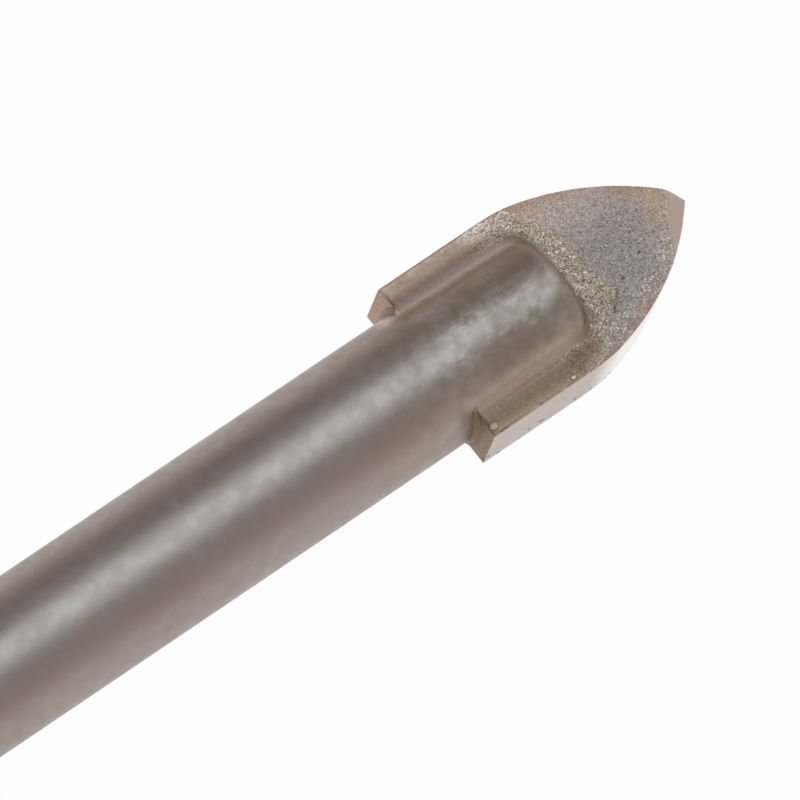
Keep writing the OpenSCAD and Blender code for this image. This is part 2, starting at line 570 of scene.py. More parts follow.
def braze_skin(x, y, seed):
    """Thickness of the run-out before it climbs the steel, with its grains."""
    inside = inside_rim(x, y, seed)
    band = band_share(x, y)
    to_edge = plate_half_width(x) - np.abs(y)
    film = (WING_FILM + (BAND_FILM - WING_FILM) * band) * eased(rising(inside, 0, FEATHER))
    coarse = sum(height * grains(x, y, size, seed + step) for height, size, step in BRAZE_GRAINS)
    coarse = coarse * (WING_GRAIN + (1 - WING_GRAIN) * band)
    skin = film + coarse * rising(inside, 0, GRAIN_FEATHER) * rising(to_edge, *CALM_EDGE)
    skin = np.where(inside > 0, skin, np.maximum(RIM_FALL * inside, -SUNK))
    return np.minimum(skin, EDGE_FALL * to_edge - REAR_DIP)


def braze_height(x, y, skin, meniscus):
    """Height above the flat at which the skin and the steel merge."""
    low = np.full(x.shape, LOWEST_BRAZE)
    high = np.full(x.shape, HIGHEST_BRAZE)
    for _ in range(HALVINGS):
        middle = (low + high) / 2
        gap = steel_gap(x, y, HALF_THICKNESS + middle) + STEEL_OVERLAP
        above = soft_min(middle - skin, gap, meniscus) > 0
        high = np.where(above, middle, high)
        low = np.where(above, low, middle)
    return np.minimum(high, MENISCUS_TOP)


print("braze climbs to %.2f mm above the flat" % MENISCUS_TOP)

# %% [markdown]
# ## The braze on a flat
# The run-out is one grid over the whole flat with a second one just below it. Faces inside the steel or
# below the flat are left out, and walls close the two grids along every open side. Each point keeps its
# distance to the steel and to the rim, because the colour follows both; near the steel that colour is
# painted shade and painted highlights along the crease.

# %% Grid of the run-out
GRID = 0.034
GRID_ACROSS = 177
GRID_AHEAD = 0.2
REAR_FADE = 0.12
NO_SKIN = -1.0
NO_MENISCUS = 1e-3
SIDES = (
    ((-1, 0), (0, 0), (0, 1)),
    ((1, 0), (1, 1), (1, 0)),
    ((0, -1), (1, 0), (0, 0)),
    ((0, 1), (0, 1), (1, 1)),
)


def rim_walls(kept, numbers):
    """Walls between the two grids, along each side of a kept face that has no kept face beside it."""
    padded = np.pad(kept, 1)
    rows, columns = kept.shape
    walls = []
    for (down, right), first, second in SIDES:
        beside = padded[1 + down : 1 + down + rows, 1 + right : 1 + right + columns]
        row, column = np.nonzero(kept & ~beside)
        one = numbers[row + first[0], column + first[1]]
        two = numbers[row + second[0], column + second[1]]
        walls.append(np.stack([one, two, two + numbers.size, one + numbers.size], axis=1))
    return walls


def braze_on_flat(seed):
    """Points and faces of the braze on the upper flat, and each point's gap to the steel and to the rim."""
    rows = np.arange(PLATE_REAR_X, braze_high[0] + GRID_AHEAD, GRID)
    columns = np.linspace(-HALF_WIDTH, HALF_WIDTH, GRID_ACROSS)
    x, y = np.meshgrid(rows, columns, indexing="ij")
    fade = eased(rising(x, PLATE_REAR_X, REAR_FADE))
    skin = (braze_skin(x, y, seed) + REAR_DIP) * fade - REAR_DIP
    top = braze_height(x, y, skin, MENISCUS)
    steel = np.clip(braze_height(x, y, np.full(x.shape, NO_SKIN), NO_MENISCUS), 0, MENISCUS_TOP)
    gap = steel_gap(x, y, HALF_THICKNESS + top)
    shows = (top > 0) & (gap > -SUNK)
    kept = shows[:-1, :-1] | shows[1:, :-1] | shows[1:, 1:] | shows[:-1, 1:]
    numbers = np.arange(x.size).reshape(x.shape)
    faces = [grid_faces(numbers)[kept.ravel()], grid_faces(numbers + x.size, flip=True)[kept.ravel()]]
    bottom = np.minimum(top - SUNK / 2, steel - SUNK)
    base = HALF_THICKNESS - edge_drop(x, y)
    points = np.concatenate([np.stack([x, y, base + z], axis=-1).reshape(-1, 3) for z in (top, bottom)])
    gaps = np.stack([gap.ravel(), inside_rim(x, y, seed).ravel()], axis=1)
    used, faces = np.unique(np.concatenate(faces + rim_walls(kept, numbers)), return_inverse=True)
    return points[used], faces.reshape(-1, 4), np.concatenate([gaps, gaps])[used]


print("run-out grid: %.3f mm between rows, %d points across" % (GRID, GRID_ACROSS))

# %% [markdown]
# ## Beads, fillets and fillings
# Two drops of braze froze as low beads on the lower wing. Braze also fills the slot behind the plate and
# the seams beside it, flush with the rod, and stands in a small hollow fillet behind each wing. Each of
# these is a closed shape of its own.

# %% Small shapes of braze
BEADS = [((6.92, -2.84), (0.11, 0.1, 0.035), 1.0), ((10.03, -2.7), (0.17, 0.17, 0.03), 0.42)]
BEAD_AROUND = 20
BEAD_ROWS = 11
BEAD_RISE = 0.49
BEAD_SEAT = 0.3
FILL_ROWS = 13
REAR_FILLET = 0.25
FILLET_ROWS = 49
FILLET_STEPS = 9
FILLET_ABOVE = 0.2
FILLET_FADE = 0.45
LEAST_FADE = 0.01
FILLET_ROOT = 5 * SUNK
FILLET_TOP = (0.95, HALF_THICKNESS + 0.1)
FILLET_GAPS = (0.4, 0.1)
FAR_FROM_RIM = 0.5


def bead(behind, y, radii):
    """A low ball of braze, partly sunk in the flat, and how near to its top each point is."""
    turns = np.linspace(0, 2 * math.pi, BEAD_AROUND, endpoint=False)
    rises = np.linspace(-BEAD_RISE, BEAD_RISE, BEAD_ROWS) * math.pi
    rise, turn = np.meshgrid(rises, turns, indexing="ij")
    ball = np.stack([np.cos(rise) * np.cos(turn), np.cos(rise) * np.sin(turn), np.sin(rise)], axis=-1)
    seat = np.array([POINT_X - behind, y, HALF_THICKNESS + BEAD_SEAT * radii[2]])
    points = ball.reshape(-1, 3) * np.array(radii) + seat
    numbers = np.arange(len(points)).reshape(rise.shape)
    ends = [numbers[0][::-1].tolist(), numbers[-1].tolist()]
    return points, tube_faces(numbers, flip=True).tolist() + ends, np.clip(np.sin(rise), 0, 1).ravel()


def slot_floor_fill():
    """The braze between the rear of the plate and the floor of the slot, flush with the rod all round."""
    z = np.linspace(-SLOT_HALF, SLOT_HALF, FILL_ROWS)
    y = np.sqrt((SHANK_RADIUS - NOSE_UNEVEN / 2) ** 2 - z**2)
    rim = np.concatenate([np.stack([y, z], axis=1), np.stack([-y, z], axis=1)[::-1]])
    points = [(x, *place) for x in (SLOT_FLOOR_X, PLATE_REAR_X) for place in rim]
    count = len(rim)
    sides = [(k, count + k, count + (k + 1) % count, (k + 1) % count) for k in range(count)]
    return points, sides + [list(range(count)), list(range(2 * count - 1, count - 1, -1))]


def seam_fill(side):
    """The braze in the seam between a flat of the plate and the slot, flush with the nose on both sides."""
    corners = []
    for x in (PLATE_REAR_X, NOSE_X - NOSE_ROUND):
        for z in (HALF_THICKNESS - SUNK, SLOT_HALF):
            y = math.sqrt((float(nose_radius(x)) - NOSE_UNEVEN / 2) ** 2 - z**2)
            corners += [(x, -y, side * z), (x, y, side * z)]
    return corners, [face[::-side] for face in BOX_FACES]


def rear_fillet(side):
    """A hollow fillet between the rod and the plate's rear face; its gaps give its ends painted highlights.
    """
    half = HALF_THICKNESS + FILLET_ABOVE
    z = np.linspace(-1, 1, FILLET_ROWS) * half
    turn = np.arcsin(z / SHANK_RADIUS)[:, None]
    reach = REAR_FILLET * np.sqrt(np.clip((half - np.abs(z)) / FILLET_FADE, LEAST_FADE, 1))[:, None]
    bend = np.linspace(0, math.pi / 2, FILLET_STEPS)[None, :]
    ones = np.ones((len(z), 1))
    x = np.concatenate([PLATE_REAR_X - reach * (1 - np.sin(bend)), ones * (PLATE_REAR_X + SUNK)], axis=1)
    curve = SHANK_RADIUS - STEEL_OVERLAP + reach * (1 - np.cos(bend))
    radius = np.concatenate([curve, ones * (SHANK_RADIUS - FILLET_ROOT)], axis=1)
    points = np.stack([x, side * radius * np.cos(turn), radius * np.sin(turn)], axis=-1)
    numbers = np.arange(radius.size).reshape(radius.shape)
    ends = [numbers[0][::side].tolist(), numbers[-1][::-side].tolist()]
    gap = np.repeat(np.interp(np.abs(z), FILLET_TOP, FILLET_GAPS)[:, None], radius.shape[1], axis=1)
    gaps = np.stack([gap.ravel(), np.full(gap.size, FAR_FROM_RIM)], axis=1)
    return points.reshape(-1, 3), tube_faces(numbers, flip=side < 0).tolist() + ends, gaps


print(len(BEADS), "beads")

# %% [markdown]
# ## One piece of braze
# On the real drill all of the braze froze together, so its parts become one mesh. The lower flat gets the
# same kind of run-out, turned by half a turn and with grains of its own. Each point also keeps a share for a
# painted highlight that also smooths its grain: only the tops of the beads have one.

# %% Build the braze
BRAZE_SHARP_ANGLE = math.radians(60)
UPPER_BRAZE_SEED = 41
LOWER_BRAZE_SEED = 61
HALF_TURN = np.array([1, -1, -1])
FILL_GAPS = (0.4, FAR_FROM_RIM)
BEAD_GAPS = (0.5, FAR_FROM_RIM)


def braze_parts():
    """Points, faces, gaps, and the share of painted highlight and smoothing, of each part of the braze."""
    points, faces, gaps = braze_on_flat(LOWER_BRAZE_SEED)
    parts = [(*braze_on_flat(UPPER_BRAZE_SEED), 0), (points * HALF_TURN, faces, gaps, 0)]
    parts += [(*rear_fillet(side), 0) for side in (1, -1)]
    for points, faces in (slot_floor_fill(), seam_fill(1), seam_fill(-1)):
        parts.append((np.array(points), faces, np.tile(FILL_GAPS, (len(points), 1)), 0))
    for place, radii, shine in BEADS:
        points, faces, top = bead(*place, radii)
        parts.append((points, faces, np.tile(BEAD_GAPS, (len(points), 1)), shine * top))
    return parts


def build_braze():
    points, faces, gaps, smooth_sheen = [], [], [], []
    total = 0
    for part_points, part_faces, part_gaps, part_smooth_sheen in braze_parts():
        points.append(part_points)
        faces += [[int(number) + total for number in face] for face in part_faces]
        gaps.append(part_gaps)
        smooth_sheen.append(np.full(len(part_points), part_smooth_sheen))
        total += len(part_points)
    braze = new_piece("braze_run", np.concatenate(points), faces)
    gaps = np.concatenate(gaps)
    store_numbers(braze, "steel_gap_mm", gaps[:, 0])
    store_numbers(braze, "rim_mm", gaps[:, 1])
    store_numbers(braze, "smooth_sheen", np.concatenate(smooth_sheen))
    return braze


braze = build_braze()
shade_smooth(braze, BRAZE_SHARP_ANGLE)
stand_in(braze, "braze")

# %% [markdown]
# ## Shader helpers
# A material is a small diagram of nodes. Building one in code is mostly adding a node and filling its
# inputs, so one helper does both: an input that is given a socket is joined to it, and any other value is
# typed in. Colours are laid over each other like coats of paint. Where a coat shows is written as a
# patch: its greatest share, and the spans over which that rises from none to all. A span runs along x or
# y, up from the flat, or in from an edge or a rim, in millimetres.

# %% Node helpers
FLOAT = "NodeSocketFloat"
BUMP_DEPTH = 0.02


def colour(red, green, blue):
    return (red, green, blue, 1.0)


def fill(tree, node, inputs):
    """Joins each input that is given a socket, and types in any other value."""
    for key, value in inputs.items():
        if isinstance(value, bpy.types.NodeSocket):
            tree.links.new(value, node.inputs[key])
        else:
            node.inputs[key].default_value = value


def add(tree, kind, inputs=None, **settings):
    """A new node, set up and filled."""
    made = tree.nodes.new("ShaderNode" + kind)
    for key, value in settings.items():
        setattr(made, key, value)
    fill(tree, made, inputs or {})
    return made


def calc(tree, operation, first, second=0.0):
    return add(tree, "Math", {0: first, 1: second}, operation=operation).outputs[0]


def product(tree, first, *others):
    for other in others:
        first = calc(tree, "MULTIPLY", first, other)
    return first


def largest(tree, first, second):
    return calc(tree, "MAXIMUM", first, second)


def rest(tree, share):
    """What a share leaves of one."""
    return calc(tree, "SUBTRACT", 1.0, share)


def vector(tree, operation, inputs):
    return add(tree, "VectorMath", inputs, operation=operation).outputs[0]


def blend(tree, share, first, second, kind="MIX"):
    """Mixes two colours by a share from 0 to 1."""
    return add(tree, "Mix", {0: share, 6: first, 7: second}, data_type="RGBA", blend_type=kind).outputs[2]


def layered(tree, base, *coats):
    """Lays colours over a base, one after another, each by its own share."""
    for share, tint in coats:
        base = blend(tree, share, base, tint)
    return base


def ramp(tree, value, low, high, to_low=0.0, to_high=1.0):
    """Maps a value from one range to another, with soft ends."""
    inputs = {"Value": value, "From Min": low, "From Max": high, "To Min": to_low, "To Max": to_high}
    return add(tree, "MapRange", inputs, interpolation_type="SMOOTHSTEP").outputs[0]


def millimetres(tree):
    """The place of each shaded point on the drill, in millimetres."""
    return vector(tree, "SCALE", {0: add(tree, "TexCoord").outputs["Object"], "Scale": 1 / MM})


def places(tree):
    """The x, y and z of each shaded point on the drill, in millimetres."""
    return dict(zip("xyz", add(tree, "SeparateXYZ", {0: millimetres(tree)}).outputs))


def patch(tree, at, described):
    """Where a coat shows: its greatest share, and spans over which that rises from none to all."""
    greatest, *spans = described
    return product(tree, greatest, *[ramp(tree, at[name], low, high) for name, low, high in spans])


def noise(tree, scale, detail):
    return add(tree, "TexNoise", {"Vector": millimetres(tree), "Scale": scale, "Detail": detail}).outputs[0]


def low_bump(tree, height, strength):
    """A normal that follows very low dents."""
    inputs = {"Height": height, "Strength": strength, "Distance": BUMP_DEPTH * MM}
    return add(tree, "Bump", inputs).outputs[0]


def stored(tree, name):
    """The number that a mesh keeps for each of its points."""
    return add(tree, "Attribute", attribute_name=name).outputs["Fac"]


def new_group(name, inputs, outputs):
    """A node group with named numbers to be given, and the node that takes its named results."""
    group = bpy.data.node_groups.new(name, "ShaderNodeTree")
    for label, value in inputs.items():
        socket = group.interface.new_socket(label, in_out="INPUT", socket_type=FLOAT)
        socket.default_value = value
    for label, kind in outputs.items():
        group.interface.new_socket(label, in_out="OUTPUT", socket_type=kind)
    return group, group.nodes.new("NodeGroupInput").outputs, group.nodes.new("NodeGroupOutput")


def use(tree, group, inputs):
    return add(tree, "Group", inputs, node_tree=group).outputs


def new_material(name):
    material = bpy.data.materials.new(name)
    material.use_nodes = True
    return material, material.node_tree, material.node_tree.nodes["Principled BSDF"]


def list_sockets(group):
    print(group.name + ":", [socket.name for socket in group.interface.items_tree])


print("bumps are %.2f mm deep at most" % BUMP_DEPTH)

# %% [markdown]
# ## A shared effect: glittering grain
# Carbide and braze both glitter, because each is a crowd of tiny faces that point in their own
# directions. This group cuts the surface into cells, tips each cell's normal by a random amount and gives
# it a random tone. A few cells are flecks, which the materials paint almost white as painted glints.

# %% Grain group
NO_TIP = (0.5, 0.5, 0.5)


def make_grain_group():
    inputs = {"Size": 0.08, "Tilt": 0.5, "Fleck Share": 0.06}
    outputs = {"Normal": "NodeSocketVector", "Tone": FLOAT, "Fleck": FLOAT}
    group, given, results = new_group("glittering grain", inputs, outputs)
    scale = calc(group, "DIVIDE", 1.0, given["Size"])
    cell = add(group, "TexVoronoi", {"Vector": millimetres(group), "Scale": scale}).outputs["Color"]
    tip = vector(group, "SUBTRACT", {0: cell, 1: NO_TIP})
    tip = vector(group, "SCALE", {0: tip, "Scale": given["Tilt"]})
    upright = add(group, "NewGeometry").outputs["Normal"]
    tipped = vector(group, "NORMALIZE", {0: vector(group, "ADD", {0: upright, 1: tip})})
    shares = add(group, "SeparateColor", {0: cell}).outputs
    fleck = calc(group, "GREATER_THAN", shares[1], rest(group, given["Fleck Share"]))
    fill(group, results, {"Normal": tipped, "Tone": shares[0], "Fleck": fleck})
    return group


grain_group = make_grain_group()
list_sockets(grain_group)

# %% [markdown]
# ## A shared effect: heat stain
# Brazing heat leaves soft, cloudy stains on the steel, the carbide and the braze alike. This group gives
# two clouds, and each material asks for its own size and offset, so that no two show the same ones.

# %% Stain group
CLOUDS_APART = {"Cloud": 0.0, "Second Cloud": 37.0}
CLOUD_SPAN = (0.3, 0.7)


def make_stain_group():
    inputs = {"Size": 1.0, "Detail": 3.0, "Offset": 0.0}
    group, given, results = new_group("heat stain", inputs, {label: FLOAT for label in CLOUDS_APART})
    scale = calc(group, "DIVIDE", 1.0, given["Size"])
    for label, apart in CLOUDS_APART.items():
        shift = calc(group, "ADD", given["Offset"], apart)
        shift = add(group, "CombineXYZ", {0: shift, 1: shift, 2: shift}).outputs[0]
        place = vector(group, "ADD", {0: millimetres(group), 1: shift})
        cloud = add(group, "TexNoise", {"Vector": place, "Scale": scale, "Detail": given["Detail"]})
        fill(group, results, {label: ramp(group, cloud.outputs[0], *CLOUD_SPAN)})
    return group


stain_group = make_stain_group()
list_sockets(stain_group)

# %% [markdown]
# ## Blasted steel
# Fine blasting leaves steel satin: it still reflects like metal, but every reflection is spread out. Near
# the nose the brazing flame has tinted it olive and brown in soft patches, and the tint fades out down
# the shank. Beside the plate the colour holds painted light: painted shade in the upper crease and behind
# the lower rear corner, and painted highlights below and above the plate where the steel would catch light
# from the wing. Metallic stays at one, the colour and the roughness drift with the stains, and a very low
# bump keeps long highlights from looking like a mirror.

# %% Steel material
STEEL = colour(0.363, 0.30, 0.275)
STEEL_DARK = colour(0.334, 0.27, 0.245)
STEEL_CLEAN = colour(0.45, 0.38, 0.345)
STEEL_OLIVE = colour(0.30, 0.252, 0.197)
STEEL_BROWN = colour(0.29, 0.22, 0.178)
# Painted highlights below and above the plate, where the steel would catch light from the wing.
STEEL_HIGHLIGHT = colour(0.54, 0.435, 0.375)
STEEL_LIT = colour(0.79, 0.62, 0.56)
# Painted shade for the creases beside the plate, on the steel and on the braze.
CREASE_SHADE = colour(0.285, 0.22, 0.172)
DARK_SHARE = 0.5
CLEAN_SHARE = 0.8
HEATED_X = (NOSE_START_X - 5, NOSE_X - 1.5)
UPPER_STEEL = ("y", -1.2, 1.2)
LOWER_STEEL = ("y", 1.2, -1.2)
BESIDE_PLATE = (("x", PLATE_REAR_X - 0.5, PLATE_REAR_X), ("x", NOSE_X - 0.3, NOSE_X - 1.5))
LIT_LENGTH = (("x", PLATE_REAR_X - 1.0, PLATE_REAR_X - 0.2), ("x", NOSE_X - 0.1, NOSE_X - 0.7))
# Painted light on the steel: highlights below and above the plate, shade in the crease and behind the rear.
LOWER_HIGHLIGHT_PATCH = (1.0, ("above", 0.65, 0.15), LOWER_STEEL, *BESIDE_PLATE)
CREASE_SHADE_PATCH = (1.0, ("above", 0.85, 0.45), UPPER_STEEL, *BESIDE_PLATE)
LIT_PATCH = (1.0, ("above", 0.48, 0.17), UPPER_STEEL, *LIT_LENGTH)
SHADE_PATCH = (0.8, ("x", PLATE_REAR_X - 0.8, PLATE_REAR_X - 0.1), ("above", 0.4, -0.2), ("y", -0.5, -1.5))
STEEL_ROUGHNESS = (0.38, 0.46)
BROWN_ROUGHER = 0.08
DENT_SHARE = 6.0


def make_steel():
    material, tree, skin = new_material("blasted steel")
    broad = use(tree, stain_group, {"Size": 2.2, "Offset": 3.0})
    small = use(tree, stain_group, {"Size": 0.45, "Offset": 9.0})
    at = places(tree)
    at["above"] = calc(tree, "SUBTRACT", calc(tree, "ABSOLUTE", at["z"]), HALF_THICKNESS)
    heated = ramp(tree, at["x"], *HEATED_X)
    brown = product(tree, broad["Second Cloud"], heated)
    base = layered(
        tree, STEEL,
        (product(tree, broad["Cloud"], DARK_SHARE), STEEL_DARK),
        (product(tree, heated, CLEAN_SHARE), STEEL_CLEAN),
        (product(tree, small["Cloud"], heated), STEEL_OLIVE),
        (brown, STEEL_BROWN),
        # painted highlight below the plate, painted shade in the upper crease, painted highlight above the
        # plate, painted shade behind the lower rear corner
        (patch(tree, at, LOWER_HIGHLIGHT_PATCH), STEEL_HIGHLIGHT),
        (patch(tree, at, CREASE_SHADE_PATCH), CREASE_SHADE),
        (patch(tree, at, LIT_PATCH), STEEL_LIT),
        (patch(tree, at, SHADE_PATCH), STEEL_BROWN),
    )
    rough = ramp(tree, small["Second Cloud"], 0, 1, *STEEL_ROUGHNESS)
    rough = calc(tree, "ADD", rough, product(tree, brown, BROWN_ROUGHER))
    dents = product(tree, small["Second Cloud"], heated, DENT_SHARE)
    uneven = calc(tree, "ADD", noise(tree, scale=14.0, detail=3.0), dents)
    normal = low_bump(tree, uneven, strength=0.12)
    fill(tree, skin, {"Base Color": base, "Roughness": rough, "Normal": normal, "Metallic": 1.0})
    return material


shank.data.materials.clear()
shank.data.materials.append(make_steel())
print("steel on", shank.name)

# %% [markdown]
# ## A shared effect: the tone of blasted carbide
# Blasted carbide is a mix of dark and pale grains, paler towards the upper edge and the point, and a
# little warmer at the point. The plate wears this tone all over, and the braze shows it at its thin rim,
# where carbide peeps through.

# %% Carbide tone group
CARBIDE = colour(0.19, 0.146, 0.128)
CARBIDE_PALE = colour(0.575, 0.465, 0.415)
WARM = colour(0.32, 0.241, 0.2)
WARM_PALE = colour(0.81, 0.635, 0.55)
TIP_WARMTH = colour(1.0, 0.935, 0.87)
PALE_SIDE = (1.0, ("y", 0.2, 2.6))
PALE_POINT = (0.7, ("x", POINT_X - 2.4, POINT_X - 0.8))
WARM_POINT = (1.0, ("x", POINT_X - 2.2, POINT_X - 1.0))


def make_tone_group():
    group, given, results = new_group("carbide tone", {"Tone": 0.5}, {"Colour": "NodeSocketColor"})
    at = places(group)
    pale = largest(group, patch(group, at, PALE_SIDE), patch(group, at, PALE_POINT))
    dark_grain = blend(group, pale, CARBIDE, WARM)
    pale_grain = blend(group, pale, CARBIDE_PALE, WARM_PALE)
    toned = blend(group, given["Tone"], dark_grain, pale_grain)
    warmed = blend(group, patch(group, at, WARM_POINT), toned, TIP_WARMTH, "MULTIPLY")
    fill(group, results, {"Colour": warmed})
    return group


tone_group = make_tone_group()
list_sockets(tone_group)

# %% [markdown]
# ## Carbide: blasted flats and ground edges
# The flats were blasted with the steel, so they are dark and grainy, with flecks painted as glints here and
# there, more along the line of each relief facet, and a brown heat tint towards the edges. Painted shade
# darkens the lower side of the rear face and its edge. The sides and relief facets were ground afterwards
# and are smooth and paler, and dark specks along the lowest rows of their walls are painted shade in small
# chips. The two finishes are two materials on one mesh, given to faces by number.

# %% Carbide materials
CARBIDE_BROWN = colour(0.45, 0.30, 0.225)
CARBIDE_TINT = colour(0.62, 0.40, 0.29)
# Flecks painted almost white, as glints in the carbide.
CARBIDE_FLECK = colour(0.9, 0.82, 0.76)
CARBIDE_PIT = colour(0.07, 0.06, 0.055)
# Painted shade on the lower side of the rear face and its edge.
REAR_SHADE = colour(0.17, 0.125, 0.10)
GROUND = colour(0.44, 0.355, 0.315)
GROUND_WARM = colour(0.45, 0.345, 0.295)
STRIP = colour(0.34, 0.24, 0.195)
STRIP_FRONT = colour(0.8, 0.73, 0.69)
WHITE = colour(1, 1, 1)
CARBIDE_TILT_X = (NOSE_X - 2.0, NOSE_X - 0.5)
CARBIDE_TILTS = (0.35, 0.75)
COARSE_SHARE = 0.4
FACET_GLINT_SHARE = 0.5
FLECK_SHARE = 0.8
TINT_SHARE = 0.55
PIT_SHARE = 0.85
SPECK_DARKNESS = 0.7
# More painted glints near the lower edge ahead of the nose.
SPARKLE_PATCH = (0.85, ("edge", 1.0, 0.3), ("y", 0.2, -0.6), ("x", NOSE_X, NOSE_X + 0.5))
BROWN_EDGE = (0.7, 0.0)
BROWN_SHARES = (0.3, 0.8)
BROWN_WING = (0.7, ("x", NOSE_X - 0.5, NOSE_X - 2.0))
REAR_FACE_X = PLATE_REAR_X + 0.012
SHADED_SIDE = ("y", 0.5, -0.5)
REAR_LIP = (("x", PLATE_REAR_X + 0.1, PLATE_REAR_X + 0.07), ("x", PLATE_REAR_X, REAR_FACE_X))
FACE_SHADE = (0.35, ("x", REAR_FACE_X, PLATE_REAR_X), SHADED_SIDE)
LIP_SHADE = (0.65, *REAR_LIP, SHADED_SIDE)
STRIP_X = (NOSE_X - 1.0, NOSE_X + 0.6)
STRIP_EDGE = (0.03, 0.0)
FLAT_ROUGHNESS = (0.45, 0.65)
GROUND_ROUGHNESS = (0.12, 0.2)


def make_carbide_flat():
    material, tree, skin = new_material("blasted carbide")
    at = places(tree)
    at["edge"] = stored(tree, "edge_mm")
    tilt = ramp(tree, at["x"], *CARBIDE_TILT_X, *CARBIDE_TILTS)
    grain = use(tree, grain_group, {"Size": 0.034, "Tilt": tilt, "Fleck Share": 0.05})
    coarse = use(tree, grain_group, {"Size": 0.06, "Fleck Share": 0.2})
    stain = use(tree, stain_group, {"Size": 1.1, "Offset": 20.0})
    tone = add(tree, "Mix", {0: COARSE_SHARE, 2: grain["Tone"], 3: coarse["Tone"]}).outputs[0]
    # more flecks, painted as glints, along the line of each relief facet
    facet_glint = product(tree, stored(tree, "facet_glint"), FACET_GLINT_SHARE)
    sparkle = largest(tree, facet_glint, patch(tree, at, SPARKLE_PATCH))
    bright = largest(tree, product(tree, coarse["Fleck"], sparkle), grain["Fleck"])
    clouds = ramp(tree, stain["Cloud"], 0, 1, *BROWN_SHARES)
    brown_edge = product(tree, ramp(tree, at["edge"], *BROWN_EDGE), clouds)
    base = layered(
        tree, use(tree, tone_group, {"Tone": tone})["Colour"],
        # flecks painted as glints
        (product(tree, bright, FLECK_SHARE), CARBIDE_FLECK),
        (largest(tree, brown_edge, patch(tree, at, BROWN_WING)), CARBIDE_BROWN),
        (product(tree, stored(tree, "tint"), TINT_SHARE), CARBIDE_TINT),
        # painted shade on the lower side of the rear face and its edge
        (patch(tree, at, FACE_SHADE), REAR_SHADE),
        (patch(tree, at, LIP_SHADE), REAR_SHADE),
        (product(tree, stored(tree, "mark"), PIT_SHARE), CARBIDE_PIT),
    )
    rough = ramp(tree, grain["Tone"], 0, 1, *FLAT_ROUGHNESS)
    fill(tree, skin, {"Base Color": base, "Roughness": rough, "Normal": grain["Normal"], "Metallic": 0.9})
    return material


def make_carbide_ground():
    material, tree, skin = new_material("ground carbide")
    stain = use(tree, stain_group, {"Size": 0.7, "Offset": 50.0})
    strip = blend(tree, ramp(tree, places(tree)["x"], *STRIP_X), STRIP, STRIP_FRONT)
    # dark specks, painted shade in small chips
    speck = product(tree, stored(tree, "mark"), SPECK_DARKNESS)
    base = layered(
        tree, GROUND,
        (stain["Cloud"], GROUND_WARM),
        (ramp(tree, stored(tree, "edge_mm"), *STRIP_EDGE), strip),
        (speck, CARBIDE_PIT),
    )
    rough = ramp(tree, stain["Second Cloud"], 0, 1, *GROUND_ROUGHNESS)
    normal = low_bump(tree, noise(tree, scale=18.0, detail=4.0), strength=0.1)
    fill(tree, skin, {"Base Color": base, "Roughness": rough, "Normal": normal, "Metallic": 1.0})
    # the specks also reflect less, as painted shade
    fill(tree, skin, {"Specular Tint": blend(tree, speck, WHITE, CARBIDE_PIT)})
    return material


plate.data.materials.append(make_carbide_flat())
plate.data.materials.append(make_carbide_ground())
plate.data.polygons.foreach_set("material_index", plate_ground)
plate.data.update()
print("ground faces:", int(plate_ground.sum()), "of", len(plate_ground))

# %% [markdown]
# ## Braze
# Silver-brass braze is pale gold where its grains are clean. By the steel it is olive to brown, which is
# painted shade in the crease, with a painted highlight along the upper side of the crease and a dimmer one
# along the lower side. The mesh carries each point's distance to the steel, so this painted light can
# follow the crease. The wings beside the nose are smooth and brown, and the band ahead of it is a crowd of
# bright grains, with flecks painted as glints and dark clouds that grow towards its darker lower side. The
# tops of the beads carry a painted highlight.

# %% Braze material
BRAZE_DULL = colour(0.22, 0.16, 0.12)
BRAZE_PINK = colour(0.66, 0.52, 0.445)
BRAZE_PALE_GOLD = colour(0.64, 0.505, 0.35)
UPPER_INNER = colour(0.192, 0.118, 0.09)
UPPER_OUTER = colour(0.442, 0.302, 0.228)
LOWER_NEAR = colour(0.238, 0.15, 0.104)
LOWER_INNER = colour(0.183, 0.118, 0.075)
LOWER_OUTER = colour(0.257, 0.176, 0.116)
# Painted highlight along the crease on the upper side.
BRAZE_LIGHT = colour(0.6, 0.49, 0.435)
# Flecks painted almost white, as glints in the braze.
BRAZE_FLECK = colour(0.95, 0.88, 0.81)
# Painted highlight on the tops of the beads.
BRAZE_BEAD_SHEEN = colour(0.54, 0.41, 0.345)
# A dimmer painted highlight along the crease on the lower side.
BRAZE_DIM_HIGHLIGHT = colour(0.5, 0.385, 0.305)
BRAZE_CORNER = colour(0.82, 0.66, 0.57)
UPPER_Y = (-0.5, 0.5)
LATER_Y = (-LATER_FROM, -LATER_FROM - LATER_RISE)
BAND_X = (NOSE_X - BAND_BEHIND, NOSE_X - BAND_BEHIND + BAND_RISE)
BAND_TILT = 0.85
GRAINY_X = (NOSE_X - 2.4, NOSE_X - 0.8)
GRAINY_SHARES = (0.08, 0.6)
LOWER_OUTER_EDGE = (0.38, 0.0)
UPPER_OUTER_EDGE = (0.7, 0.05)
LOWER_AWAY_GAP = (0.06, 0.17)
UPPER_AWAY_GAP = (0.03, 0.28)
INNER_GAP = (0.1, 0.45)
GOLD_SHARES = (0.03, 0.2)
LOWER_GOLD = 0.35
